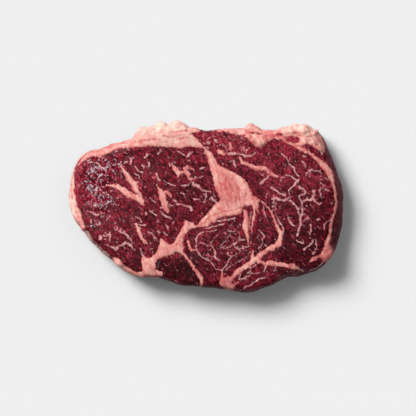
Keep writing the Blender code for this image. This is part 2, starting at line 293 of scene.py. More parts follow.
# Red threads of connective tissue inside the fat, in the form of the seams.
THREADS = [
    ((0.9, 1.2, 0.7), [(-49, 45), (-44, 46.2), (-38, 46.4), (-33, 47)]),
    ((0.7, 1.1, 0.7), [(-24, 51.8), (-18, 52.6), (-12, 53)]), ((1.2, 0.7), [(-18, 47), (-13, 48.5)]),
    ((0.8, 0.6), [(-30, 49.5), (-24, 48.6), (-20, 49)]), ((0.8,), [(-70, 41), (-62, 43), (-55, 44.6)]),
    ((0.7,), [(-92.7, 6), (-93, 14), (-92.6, 20)]),
    ((0.4, 0.9, 0.7, 0.4), [(-90.4, 14), (-89.6, 6), (-87.4, 0), (-85.4, -5), (-83.8, -10)]),
    ((0.3, 0.7, 0.3), [(-91, 2), (-89, -4), (-87, -9)]),
    ((0.4, 0.8, 0.4), [(-88.4, 31), (-85, 33.4), (-81, 34.6)]),
    ((1.4, 0.8), [(13.5, 21), (14, 17), (13.5, 12)]), ((1.0, 0.6), [(17, 15), (17.5, 11), (17, 7)]),
    ((1.2, 0.8), [(20, 16), (22, 12), (23, 6)]), ((0.9,), [(27, 10), (27.4, 6.5), (27, 4)]),
    ((1.8, 0.8), [(9, -1), (11, -3)]), ((0.9,), [(8, 22), (10, 16), (10.5, 11)]),
    ((0.4, 1.0, 0.4), [(11.5, 22), (17, 19.4), (21.5, 14.4), (23, 11)]),
    ((0.4, 0.8, 0.4), [(11, 16.5), (14.6, 12.6), (16, 7)]),
    ((0.3, 0.8, 0.3), [(18.6, 18), (21.2, 12), (20.4, 5)]),
    ((0.4, 0.9, 0.9, 0.4), [(27.6, 0.6), (19.6, -1.6), (11.6, -3), (3.6, -6.4), (-1, -9.4)]),
    ((0.4, 0.8, 0.3), [(2.4, -1.4), (-2.4, -6), (-7.4, -10.6)]),
    ((0.8, 1.4, 1.0), [(27, 51.6), (33, 51.2), (38, 50.6), (44, 48.8)]),
    ((0.8, 1.2, 0.6), [(40.5, 49.6), (42, 46.6), (41, 43.6)]),
    ((0.8, 1.0), [(31, 48.6), (33, 46), (32, 44)]), ((1.6, 2.4, 1.4), [(45, 50), (49, 49), (54, 48.4)]),
    ((0.7, 1.2, 0.7), [(63, 50), (67, 48.4), (71, 46.4)]), ((0.8,), [(74, 44.6), (77, 41.6), (79, 38.4)]),
    ((0.9, 0.7), [(56, 50.6), (61, 51.4), (67, 50.6)]), ((0.8,), [(59, 44.6), (64, 42), (70, 38)]),
    ((0.8,), [(-22, -27.5), (-19, -24), (-17, -20)]), ((0.8,), [(-40, -46), (-39, -42), (-40, -38)]),
    ((0.8,), [(2, -8.5), (-3, -11.6), (-8, -12.8)]),
]

# Cracks and folds between fat and muscle, in the same form: real grooves whose darkness is painted shade.
CRACKS = [
    ((0.4, 0.9, 1.1, 1.2, 0.6), [(-88.6, 1.6), (-86, -4), (-84, -10), (-82.4, -15), (-79, -20)]),
    ((0.2, 0.6, 0.5, 0.2), [(29, 51.5), (33, 51.2), (37, 50.7), (41, 49.8)]),
    ((0.4, 0.9, 0.6), [(69, 57), (71.8, 55.6), (73.8, 53.4)]),
    ((0.2, 0.6, 0.2), [(67, 49.4), (70, 48.8), (73, 49.4)]),
    ((0.4, 0.7, 0.4), [(-16, -33), (-18, -31.6), (-22, -31.4)]),
    ((0.4, 0.8, 0.5), [(-34, -41), (-33.4, -38), (-32, -36)]),
    ((0.3, 0.7, 0.3), [(-61.6, -34.4), (-58.4, -37.2), (-55.4, -41.2)]),
]

# Painted shade: dark lines that stand for shaded creases in the lean, in the same form; they have no relief.
CREASE_SHADES = [
    ((0.2, 0.7, 0.5, 0.2), [(-86.4, 6.8), (-79, 9), (-72, 8.3), (-62.9, 6)]),
    ((0.2, 0.8, 0.2), [(-65, 23.7), (-60, 22.6), (-54.4, 19.8)]),
    ((0.2, 0.6, 0.8, 0.2), [(-66.7, -0.9), (-57.5, -1.8), (-52, -1), (-47.5, 0.7)]),
    ((0.2, 0.7, 0.2), [(-84, 18), (-80, 14), (-78.4, 9.6)]),
    ((0.2, 0.7, 0.2), [(-76, -6), (-71, -9.4), (-66, -10)]),
    ((0.2, 0.6, 0.2), [(-78, 28), (-73, 24), (-70, 19)]),
    ((0.2, 0.6, 0.2), [(-58, -8), (-50, -6), (-42, -7)]),
]

# Dried brownish skin along the lower left edge, in the same form.
DRY_EDGES = [
    ((0.6, 2.6, 3.2, 2.2, 1.6, 1.4), [(-88.4, -12), (-85.4, -15.4), (-82, -19.4), (-79, -23.4),
        (-75, -27.4), (-70.5, -31), (-67, -33.6)]),
    ((1.6, 1.0), [(-70, -33.4), (-66, -36), (-63, -38.2)]),
    ((1.0, 1.6, 0.8), [(-56, -43.5), (-52, -46), (-48, -47.6)]),
]

# Painted highlights: pale lines where wet fibres would catch the light, in the same form; they have no relief.
PAINTED_GLINTS = [
    ((0.3, 0.6, 0.3), [(1, -30), (3.5, -28)]),
    ((0.3, 0.7, 0.7, 0.3), [(7, -29), (10, -26.5), (14, -21.5), (17.5, -18)]),
    ((0.3, 0.6, 0.3), [(12.5, -44), (17.5, -40)]),
    ((0.3, 0.7, 0.7, 0.3), [(20, -38.5), (25, -36), (29.5, -33)]),
    ((0.3, 0.6, 0.3), [(15, -13.5), (18.5, -10.5)]), ((0.3, 0.6, 0.3), [(21, -14), (23.5, -11)]),
    ((0.3, 0.5, 0.3), [(35, -21.5), (36.5, -18.5)]), ((0.3, 0.6, 0.3), [(28.5, -43), (31.5, -40)]),
]

# Where the lean is wettest and uneven enough to glint: middle, reach along and across, turn, amount.
WET_SPOTS = [
    (-76, 19, 12, 17, 0, 1.7), (-60, 31, 12, 6, 15, 0.7), (-72, -2, 9, 10, 0, 0.4),
    (-2, 46, 14, 7, -20, 0.45), (42, 38, 14, 6, 0, 0.4),
]

# Where the upper face sinks towards the edge, in the same form, with the depth in millimetres.
DIPS = [
    (-91, 30, 22, 22, 0, 2.2), (-88, -4, 14, 16, 0, 0.8),
]

# Lean that is darker or brighter than the rest, in the same form, with the change of tone.
LEAN_TONES = [
    (-18, -43, 17, 9, 0, -0.44), (-8, -48, 9, 10, 0, -0.3), (8, 45, 26, 7, -18, 0.28),
    (-12, 8, 14, 14, 0, -0.12), (-50, -30, 18, 10, -30, -0.08), (70, -4, 20, 20, 0, -0.16),
    (63, -28, 26, 14, 0, -0.3), (62, 26, 22, 16, 0, 0.06), (10, -24, 20, 15, 0, -0.12),
    (45, -49, 16, 7, 0, -0.1), (-74, 8, 14, 26, 0, 0.08), (59, 47, 7, 4, 0, 0.4),
    (-88.4, 16, 2.2, 14, 0, 0.34), (-80, 30, 10, 2.4, 18, 0.22),
]
LEAN_TONE = 0.52

# How much of the fine web of fat shows in the lean, in the same form.
MARBLING_TONES = [
    (-45, 5, 50, 40, 0, 0.16), (-18, -44, 18, 10, 0, -0.22), (60, 20, 32, 28, 0, 0.48),
    (12, 42, 26, 10, -18, 0.55), (12, -26, 22, 16, 0, 0.3), (45, -47, 20, 8, 0, 0.32),
    (64, -24, 22, 14, 0, -0.18),
]
MARBLING_TONE = 0.22

# Fat that is whiter or redder than the seams, in the same form.
FAT_TONES = [
    (-94, 12, 9, 34, 0, 0.34), (-62, 43, 24, 7, 16, -0.1), (-24, 50, 24, 8, 0, 0.22),
    (-87, -8, 5, 10, 20, -0.16), (-88, 27, 6, 7, 40, -0.2), (68, 39, 11, 4, -40, -0.14),
    (-43, 55, 7, 3, 16, 0.24), (-31, 57.5, 5.5, 3.2, 10, 0.3), (-20, 58.5, 5.5, 3, -6, 0.3),
    (13, 13, 8, 13, 10, -0.24), (25, 18, 11, 3.5, -42, 0.16), (6, 26, 3, 14, 14, 0.06),
    (29, 5, 9, 7, 0, -0.08), (-6, -9, 11, 4, 28, 0.1), (14, -52, 8, 8, 0, -0.34), (80, -33, 9, 7, 0, -0.34),
    (33, 48, 11, 6, 0, -0.12), (47, 50, 6, 4, 0, -0.4), (62, 55, 18, 5, 0, 0.34), (73, 44, 8, 6, -40, 0.16),
    (38, 46, 5, 4, 0, 0.16), (-6, -46, 5, 12, 0, -0.2), (-67.5, -34.6, 3.4, 2.2, -42, -0.3),
    (-59.6, -39, 5, 3, -48, 0.16), (-45, -47.5, 12, 3, -12, -0.12),
]
FAT_TONE = 0.56

# Lumps of fat that stand out along the edges, in the same form, with their height in millimetres.
LUMPS = [
    (-43.5, 53, 7, 3.2, 16, 1.2), (-37.6, 54.8, 3.4, 2.8, 30, 1.2), (-31.2, 56, 4.6, 3.8, 14, 2.2),
    (-20.6, 57.2, 4.4, 3, -8, 1.9), (-15.2, 55.2, 3.6, 2.6, -20, 0.9), (-7, 53.5, 6, 2.6, -14, 0.8),
    (30.4, 54.8, 3.2, 3.4, 20, 1.9), (34.6, 54.2, 2.8, 2.8, 0, 1.4), (28.6, 48.4, 3.6, 2.6, -20, 1.1),
    (33, 46.8, 4.2, 2.8, 40, 1.2), (37.6, 45.4, 4, 3.6, -10, 1.3), (37, 49, 4.4, 1.8, -8, 0.9),
    (14, 52.4, 9, 3, -6, 0.9), (53.6, 53.2, 4.6, 3.6, 20, 1), (60, 54, 4.4, 4.2, 0, 1.5),
    (66, 53.6, 4.6, 4.2, -20, 1.5), (74.8, 51.6, 4, 1.7, 52, 1), (68.6, 46.4, 3.8, 2.8, -30, 1.1),
    (73.6, 44.4, 3.8, 3, -50, 1.3), (77.6, 40.6, 3.6, 2.8, -55, 1.1), (-60.2, -38.6, 4, 2.2, -42, 1.6),
    (-84.5, -14.5, 2.6, 2, -50, 1), (84.6, -33, 4.6, 3.2, 60, 1), (59, -42.6, 5.6, 2.8, -14, 1),
    (76, -40, 10, 6, 30, 1), (49, -52.5, 10, 4, 18, 0.9), (84, 47, 4, 6, 30, 1),
]
LUMP_DEPTHS = (7.0, 14.0)

# Tufts of random flecks of fat, then of painted highlights on wet fibres: middle, half length, half width,
# number, direction.
FLECKS = [
    (-45, 5, 46, 36, 50, -52), (60, 12, 28, 30, 30, -58), (12, 42, 22, 10, 26, -36),
    (15, -27, 26, 17, 12, 50), (48, -46, 26, 7, 8, 20), (62, -22, 22, 16, 5, 60),
]
PAINTED_GLINT_TUFTS = [
    (-76, 20, 9, 13, 24, 62), (-74, 19, 10, 14, 18, -52), (-62, 30, 9, 5, 8, -50), (-72, 4, 8, 7, 9, 30),
    (-75, -14, 5, 4, 3, 40),
]
TUFT_SPREAD = 2.2
TUFT_TURN = 24
TUFT_COUNTS = (1, 2, 3, 5, 7)
FLECK_TURN = 26
FLECK_BEND = 0.5
FLECK_STRIDES = (1, 1, 1, 2, 2, 3)
STRIDE_LENGTHS = (0.6, 1.7)
FLECK_WIDTHS = (0.5, 0.6, 0.8, 1.0, 1.3)
FLECK_START = 0.2
FLECK_END = 0.1


def smooth_line(points, closed=False):
    """A dense smooth line through the points, as an array of plan points."""
    control = np.array(points, float)
    if closed:
        padded = np.vstack([control[-1:], control, control[:2]])
    else:
        padded = np.vstack([2 * control[:1] - control[1:2], control, 2 * control[-1:] - control[-2:-1]])
    steps = np.linspace(0, 1, LINE_STEPS, endpoint=False)[:, None]
    pieces = []
    for p0, p1, p2, p3 in zip(padded, padded[1:], padded[2:], padded[3:]):
        pieces.append(
            0.5 * (2 * p1 + (p2 - p0) * steps + (2 * p0 - 5 * p1 + 4 * p2 - p3) * steps**2
                   + (3 * p1 - p0 - 3 * p2 + p3) * steps**3)
        )
    if not closed:
        pieces.append(control[-1:])
    return np.vstack(pieces)


def near_to(places, line, reach):
    """Which places lie within reach of the line's box."""
    low, high = line.min(axis=0) - reach, line.max(axis=0) + reach
    return np.flatnonzero(((places > low) & (places < high)).all(axis=1))


def gaps(places, line):
    """Distance from each place to the line, and how far along the line its nearest point is, as a share."""
    start, run = line[:-1], np.diff(line, axis=0)
    span = (run**2).sum(axis=1) + 1e-12
    best = np.full(len(places), np.inf)
    share = np.zeros(len(places))
    for i in range(len(start)):
        away = places - start[i]
        along = np.clip((away @ run[i]) / span[i], 0, 1)
        gap = np.hypot(*(away - along[:, None] * run[i]).T)
        closer = gap < best
        best[closer] = gap[closer]
        share[closer] = (i + along[closer]) / len(start)
    return best, share


def stroke_distance(places, strokes):
    """Distance from each place to the nearest stroke's edge, below zero inside it, up to FIELD_REACH."""
    field = np.full(len(places), FIELD_REACH)
    for widths, points in strokes:
        line = smooth_line(points)
        near = near_to(places, line, FIELD_REACH)
        if len(near) == 0:
            continue
        gap, share = gaps(places[near], line)
        half = np.interp(share, np.linspace(0, 1, len(widths)), widths) / 2
        field[near] = np.minimum(field[near], gap - half)
    return field


def inside_outline(places, line):
    inside = np.zeros(len(places), bool)
    for (x0, y0), (x1, y1) in zip(line, np.roll(line, -1, axis=0)):
        straddles = (y0 > places[:, 1]) != (y1 > places[:, 1])
        crossing = x0 + (places[:, 1] - y0) * (x1 - x0) / (y1 - y0 + 1e-12)
        inside ^= straddles & (crossing > places[:, 0])
    return inside


def outline_distance(places, points):
    """Distance from each place to a closed smooth outline, below zero inside it."""
    line = smooth_line(points, closed=True)
    gap, _ = gaps(places, np.vstack([line, line[:1]]))
    return np.where(inside_outline(places, line), -gap, gap)


def oval_size(places, x, y, along, across, turn):
    """How far out each place lies in a turned oval: 0 in its middle, 1 on its edge."""
    cos, sin = math.cos(math.radians(turn)), math.sin(math.radians(turn))
    dx, dy = places[:, 0] - x, places[:, 1] - y
    return np.hypot((dx * cos + dy * sin) / along, (dy * cos - dx * sin) / across)


def blobs(places, spots):
    """Sum of soft spots at each place."""
    total = np.zeros(len(places))
    for *oval, change in spots:
        total += change * np.exp(-oval_size(places, *oval) ** 2)
    return total


def lump_rise(places, lumps):
    """Rise of round lumps, with a crease wherever two of them meet."""
    rise = np.zeros(len(places))
    for *oval, height in lumps:
        rise = np.maximum(rise, height * (1 - oval_size(places, *oval) ** 2))
    return rise


def step(values, low, high):
    t = np.clip((values - low) / (high - low), 0, 1)
    return t * t * (3 - 2 * t)


def nodules(places, size, seed=0.0):
    """Round lumps of about this size with creases between them, from 0 in a crease to 1 on a lump."""
    found = [noise.voronoi(Vector((p[0] / size + seed, p[1] / size, p[2] / size)))[0][0] for p in places]
    return 1 - np.clip(np.array(found) / 0.75, 0, 1) ** 2


def swirl(places, size, seed=0.0):
    """Smooth noise at each place, with features of about this size."""
    return np.array([noise.noise(Vector((p[0] / size + seed, p[1] / size, p[2] / size))) for p in places])


def random_flecks(tufts):
    """Short wavy flecks in tufts, scattered over ovals and mostly along each one's direction."""
    rng = random.Random(SEED)
    found = []
    for x, y, half_length, half_width, count, direction in tufts:
        for _ in range(count):
            radius, turn = math.sqrt(rng.random()), rng.uniform(0, 2 * math.pi)
            px, py = x + half_length * radius * math.cos(turn), y + half_width * radius * math.sin(turn)
            tuft_heading = direction + rng.gauss(0, TUFT_TURN)
            for _ in range(rng.choice(TUFT_COUNTS)):
                start = (px + rng.gauss(0, TUFT_SPREAD), py + rng.gauss(0, TUFT_SPREAD))
                found.append(random_fleck(rng, start, math.radians(tuft_heading + rng.gauss(0, FLECK_TURN))))
    return found


def random_fleck(rng, start, heading):
    """One fleck: its widths and its points."""
    px, py = start
    points = [start]
    for _ in range(rng.choice(FLECK_STRIDES)):
        heading += rng.gauss(0, FLECK_BEND)
        stride = rng.uniform(*STRIDE_LENGTHS)
        px += stride * math.cos(heading)
        py += stride * math.sin(heading)
        points.append((px, py))
    width = rng.choice(FLECK_WIDTHS)
    return (FLECK_START, width, width * rng.uniform(0.6, 1.0), FLECK_END), points


def anatomy_fields(places, vein_places):
    """At each place: distances in millimetres to fat, veins and the like, and tones of lean and fat."""
    bodies = {name: outline_distance(places, points) for name, points in FAT_BODIES.items()}
    fat = np.minimum.reduce(list(bodies.values()))
    for oval in MUSCLE_IN_FAT:
        fat = np.maximum(fat, (1 - oval_size(places, *oval)) * oval[3])
    fat = np.minimum(fat, stroke_distance(places, SEAMS))
    veins = [(widths, points) for widths, found in VEINS.items() for points in found]
    flecks = random_flecks(FLECKS)
    painted_glint_tufts = random_flecks(PAINTED_GLINT_TUFTS)
    return {
        "fat_mm": np.maximum(fat, -FIELD_REACH),
        "vein_mm": stroke_distance(vein_places, veins + flecks),
        "thread_mm": stroke_distance(places, THREADS),
        "crack_mm": stroke_distance(places, CRACKS),
        # Painted shade: lines of dark crease.
        "crease_shade_mm": stroke_distance(vein_places, CREASE_SHADES),
        "dry_mm": stroke_distance(places, DRY_EDGES),
        # Painted highlights: glint lines and their tufts.
        "painted_glint_mm": np.minimum(stroke_distance(places, PAINTED_GLINTS), stroke_distance(vein_places, painted_glint_tufts)),
        "wet": np.clip(blobs(places, WET_SPOTS), 0, 1),
        "cap": step(-bodies["cap"], -1.0, 1.0),
        "lean_tone": LEAN_TONE + blobs(places, LEAN_TONES),
        "fat_tone": FAT_TONE + blobs(places, FAT_TONES),
        "marbling": np.clip(MARBLING_TONE + blobs(places, MARBLING_TONES), 0, 1),
    }


def solid_tree(node):
    """The CAD solid in millimetres, ready for rays."""
    mesh = node.data
    corners = [v.co / MM for v in mesh.vertices]
    return BVHTree.FromPolygons(corners, [tuple(p.vertices) for p in mesh.polygons])


def reach(tree, angle, size):
    """How far the solid of this size reaches from its middle in a direction."""
    out = Vector((math.cos(angle), math.sin(angle), 0))
    levels = np.linspace(*OUTLINE_LEVELS) * size.z
    hits = [tree.ray_cast(out * size.x + Vector((0, 0, z)), -out)[0] for z in levels]
    return max(hit.xy.length for hit in hits if hit)


def columns_round(tree, size):
    """Angle and reach of the columns, evenly spaced along the solid's outline."""
    angles = np.linspace(0, 2 * math.pi, OUTLINE_RAYS)
    radii = np.array([reach(tree, a, size) for a in angles])
    x, y = radii * np.cos(angles), radii * np.sin(angles)
    along = np.concatenate([[0], np.cumsum(np.hypot(np.diff(x), np.diff(y)))])
    wanted = np.linspace(0, along[-1], COLUMNS, endpoint=False)
    return np.interp(wanted, along, angles), np.interp(wanted, along, radii)


def row_shares():
    """Where the rows lie along a column's section, from the upper face over the side to the underside."""
    total = 2 * PIVOT_INSET + SIDE_RUN
    at, found = 0.0, []
    while at < total:
        found.append(at / total)
        at += [spacing for start, spacing in ROW_STEPS if start <= at][-1]
    return np.array(found + [1.0])


def section(tree, angle, radius, shares):
    """Points down one column of the skin: the solid's section, seen from a pivot inside its edge."""
    out = Vector((math.cos(angle), math.sin(angle), 0))
    pivot = out * (radius - PIVOT_INSET) + Vector((0, 0, PIVOT_HEIGHT))
    hits = []
    for tilt in np.linspace(math.pi / 2, -math.pi / 2, FAN_RAYS):
        hit = tree.ray_cast(pivot, out * math.cos(tilt) + Vector((0, 0, math.sin(tilt))))[0]
        if hit:
            hits.append(tuple(hit))
    hits = np.array(hits)
    along = np.concatenate([[0], np.cumsum(np.linalg.norm(np.diff(hits, axis=0), axis=1))])
    along /= along[-1]
    return np.stack([np.interp(shares, along, hits[:, k]) for k in range(3)], axis=1)


def smoothed_grid(grid):
    """The rows and columns of the skin's edge, rid of the CAD solid's facets."""
    for _ in range(ROUNDS_ALONG):
        grid = 0.5 * grid + 0.25 * (np.roll(grid, 1, axis=1) + np.roll(grid, -1, axis=1))
    for _ in range(ROUNDS_DOWN):
        inner = 0.5 * grid[1:-1] + 0.25 * (grid[:-2] + grid[2:])
        grid = np.concatenate([grid[:1], inner, grid[-1:]])
    return grid


def lattice(ring, spacing):
    """Points of a triangular lattice inside a ring that goes once round the origin."""
    ring_angle = np.arctan2(ring[:, 1], ring[:, 0])
    order = np.argsort(ring_angle)
    ring_angle, ring_radius = ring_angle[order], np.hypot(ring[:, 0], ring[:, 1])[order]
    low, high = ring.min(axis=0), ring.max(axis=0)
    rows = np.arange(low[1], high[1], spacing * math.sqrt(3) / 2)
    found = []
    for i, y in enumerate(rows):
        x = np.arange(low[0] + (i % 2) * spacing / 2, high[0], spacing)
        found.append(np.stack([x, np.full(len(x), y)], axis=1))
    found = np.vstack(found)
    limit = np.interp(np.arctan2(found[:, 1], found[:, 0]), ring_angle, ring_radius, period=2 * math.pi)
    return found[np.hypot(found[:, 0], found[:, 1]) < limit - LATTICE_MARGIN * spacing]


def filled(ring, inner):
    """Triangles that fill a ring over inner points, as numbers into ring points followed by inner ones."""
    plan = [Vector(p) for p in ring] + [Vector(p) for p in inner]
    loop = [(i, (i + 1) % len(ring)) for i in range(len(ring))]
    _, _, faces, sources, _, _ = delaunay_2d_cdt(plan, loop, [], 1, 1e-6)
    first = np.array([s[0] for s in sources])
    return first[np.array(faces)]


def smoothed_heights(heights, faces, free, rounds):
    """Evens out the heights of the free points with their neighbours'."""
    ends = np.vstack([faces[:, [0, 1]], faces[:, [1, 2]], faces[:, [2, 0]]])
    count = np.bincount(ends[:, 0], minlength=len(heights)) + np.bincount(ends[:, 1], minlength=len(heights))
    for _ in range(rounds):
        total = np.bincount(ends[:, 0], heights[ends[:, 1]], len(heights))
        total += np.bincount(ends[:, 1], heights[ends[:, 0]], len(heights))
        mean = total / np.maximum(count, 1)
        heights = np.where(free, 0.5 * heights + 0.5 * mean, heights)
    return heights


class Skin:
    """The fine skin of the steak: points, triangles, and where each point lies on the slice."""

    def __init__(self, node):
        low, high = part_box(node.name)
        tree = solid_tree(node)
        angles, radii = columns_round(tree, (high - low) / MM)
        shares = row_shares()
        self.rows = len(shares)
        grid = np.stack([section(tree, a, r, shares) for a, r in zip(angles, radii)], axis=1)
        grid = smoothed_grid(grid)
        above = high.z / MM + RAY_START
        self.top_faces, top = self.cap(grid[0], TOP_SPACING, tree, above, -1)
        self.under_faces, under = self.cap(grid[-1], UNDERSIDE_SPACING, tree, -RAY_START, 1)
        ring_count = self.rows * COLUMNS
        self.points = np.vstack([grid.reshape(-1, 3), top, under])
        self.number_caps(ring_count, len(top))
        self.outline_radius = radii
        self.outline_angle = angles
        heights = self.points[:, 2].copy()
        on_top = np.arange(len(heights)) - ring_count
        free = (on_top >= 0) & (on_top < len(top))
        self.points[:, 2] = smoothed_heights(heights, self.top_faces, free, TOP_ROUNDS)

    def cap(self, ring, spacing, tree, start, direction):
        """Triangles and inner points of the upper face or the underside."""
        inner = lattice(ring[:, :2], spacing)
        down = Vector((0, 0, direction))
        heights = []
        for x, y in inner:
            hit = tree.ray_cast(Vector((x, y, start)), down)[0]
            heights.append(hit.z)
        return filled(ring[:, :2], inner), np.column_stack([inner, heights])

    def number_caps(self, ring_count, top_count):
        """Turns the caps' own numbering into that of all points, and adds the bands between the rows."""
        last_row = ring_count - COLUMNS
        inner = self.top_faces - COLUMNS + ring_count
        self.top_faces = np.where(self.top_faces < COLUMNS, self.top_faces, inner)
        self.under_faces = np.where(
            self.under_faces < COLUMNS,
            self.under_faces + last_row,
            self.under_faces - COLUMNS + ring_count + top_count,
        )[:, ::-1]
        row, column = np.divmod(np.arange(last_row), COLUMNS)
        here = row * COLUMNS + column
        after = row * COLUMNS + (column + 1) % COLUMNS
        first = np.stack([here, here + COLUMNS, after], axis=1)
        second = np.stack([after, here + COLUMNS, after + COLUMNS], axis=1)
        self.side_faces = np.stack([first, second], axis=1).reshape(-1, 3)

    def faces(self):
        return np.vstack([self.top_faces, self.side_faces, self.under_faces])

    def normals(self):
        """Unit normals at the points, from the faces round them."""
        faces = self.faces()
        a, b, c = (self.points[faces[:, k]] for k in range(3))
        face_normals = np.cross(b - a, c - a)
        total = np.zeros_like(self.points)
        for k in range(3):
            for axis in range(3):
                total[:, axis] += np.bincount(faces[:, k], face_normals[:, axis], len(self.points))
        return total / np.linalg.norm(total, axis=1)[:, None]

    def edge_gap(self):
        """How far each point lies inside the outline, seen from the middle, and how far from the middle."""
        radius = np.hypot(self.points[:, 0], self.points[:, 1])
        angle = np.arctan2(self.points[:, 1], self.points[:, 0])
        outline = np.interp(angle, self.outline_angle, self.outline_radius, period=2 * math.pi)
        return outline - radius, radius

    def depths(self, normals, gap):
        """How far each point lies below the rim next to it, 0 on the upper face."""
        rim = self.points[COLUMNS * RIM_ROW:COLUMNS * (RIM_ROW + 1), 2]
        angle = np.arctan2(self.points[:, 1], self.points[:, 0])
        rim_height = np.interp(angle, self.outline_angle, rim, period=2 * math.pi)
        below = np.maximum(rim_height - self.points[:, 2], 0)
        return np.where((normals[:, 2] > 0.8) & (gap > 2), 0, below)


def pattern_places(skin, depth):
    """Where each point lies on the slice's pattern, once for the seams and once for the veins."""
    gap, radius = skin.edge_gap()
    pulled = np.minimum(radius, radius + gap - RIM_PULL)
    plan = skin.points[:, :2] * (pulled / np.maximum(radius, TINY))[:, None]
    moved = np.column_stack([skin.points[:, :2], DEPTH_STRETCH * depth])
    wander = WANDER * step(depth, *WANDER_DEPTHS)
    plan[:, 0] += wander * swirl(moved, WANDER_SIZE)
    plan[:, 1] += wander * swirl(moved, WANDER_SIZE, 40.0)
    return warped(plan, moved, SEAM_WARP), warped(plan, moved, VEIN_WARP)


def warped(plan, places, steps):
    """The plan places, shifted to and fro by noise of each given size and amount."""
    plan = plan.copy()
    for size, amount in steps:
        plan[:, 0] += amount * swirl(places, size, 11.0)
        plan[:, 1] += amount * swirl(places, size, 23.0)
    return plan


def stretched_swirl(places, turn, across, along, seed=0.0):
    """Smooth noise drawn out along a direction in plan, like fibres or wrinkles."""
    cos, sin = math.cos(math.radians(turn)), math.sin(math.radians(turn))
    u = (places[:, 0] * cos + places[:, 1] * sin) / along
    v = (places[:, 1] * cos - places[:, 0] * sin) / across
    return swirl(np.column_stack([u, v, places[:, 2] / along]), 1.0, seed)


def waves(places, table):
    """Sum of the noises in the table."""
    return sum(rise * swirl(places, size, seed) for rise, size, seed in table)


def ripples(places, table):
    """Sum of the drawn-out noises in the table."""
    return sum(rise * stretched_swirl(places, *shape) for rise, *shape in table)


def drawn_relief(fields):
    """Rise of what is drawn with outlines and lines, with a groove along the borders of the fat."""
    depth, distance, width = SEAM_GROOVE
    rise = -depth * np.exp(-((fields["fat_mm"] - distance) / width) ** 2)
    for name, (height, outside, inside) in DRAWN_RELIEF.items():
        rise += height * step(-fields[name], outside, inside)
    return rise


def add_relief(skin, fields, normals, gap, depth):
    """Raises the fat, sinks its borders and gives lean and sides their unevenness."""
    places = skin.points.copy()
    side = fields["sideness"]
    fatty = step(-fields["fat_mm"], -0.5, 1.5)
    rise = drawn_relief(fields) + waves(places, SKIN_WAVES)
    rise += fields["wet"] * (waves(places, WET_WAVES) + ripples(places, WET_RIPPLES))
    rise += ripples(places, LEAN_RIPPLES) * (1 - side)
    rise += fatty * (ripples(places, FAT_RIPPLES) + waves(places, FAT_WAVES))
    rise += side * waves(places, SIDE_WAVES)
    rim_of_cap = fatty * step(places[:, 1], *CAP_FROM) * np.maximum(side, step(gap, *RIM_GAPS))
    rise += rim_of_cap * NODULE_RISE * (nodules(places, NODULE_SIZE) - NODULE_LEVEL)
    lump_x = places[:, 0] + 1.1 * swirl(places, LUMP_WAVE, 5.0)
    lump_y = places[:, 1] + swirl(places, LUMP_WAVE, 15.0)
    lumps = lump_rise(np.column_stack([lump_x, lump_y]), LUMPS)
    rise += lumps * step(-depth, -LUMP_DEPTHS[1], -LUMP_DEPTHS[0])
    skin.points[:, 2] -= blobs(places, DIPS) * step(normals[:, 2], 0.1, 0.8)
    rise[normals[:, 2] < -0.7] *= UNDERSIDE_SHARE
    skin.points += normals * rise[:, None]


def fit_box(skin, low, high):
    """Fits the skin to the CAD solid's box, resting on the surface under it."""
    points = skin.points
    points[:, 2] = np.maximum(points[:, 2], 0)
    small, large = points.min(axis=0), points.max(axis=0)
    skin.points = (points - small) / (large - small) * (high - low) + low


def steak_mesh(node):
    low, high = (np.array(corner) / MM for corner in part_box(node.name))
    skin = Skin(node)
    normals = skin.normals()
    gap, _ = skin.edge_gap()
    depth = skin.depths(normals, gap)
    fields = anatomy_fields(*pattern_places(skin, depth))
    fields["sideness"] = step(1 - np.abs(normals[:, 2]), 0.25, 0.75)
    add_relief(skin, fields, normals, gap, depth)
    fit_box(skin, low, high)

    mesh = bpy.data.meshes.new("steak_meat")
    mesh.from_pydata(skin.points * MM, [], skin.faces())
    for name, values in fields.items():
        mesh.attributes.new(name, "FLOAT", "POINT").data.foreach_set("value", values.astype(np.float32))
    mesh.shade_smooth()
    return mesh


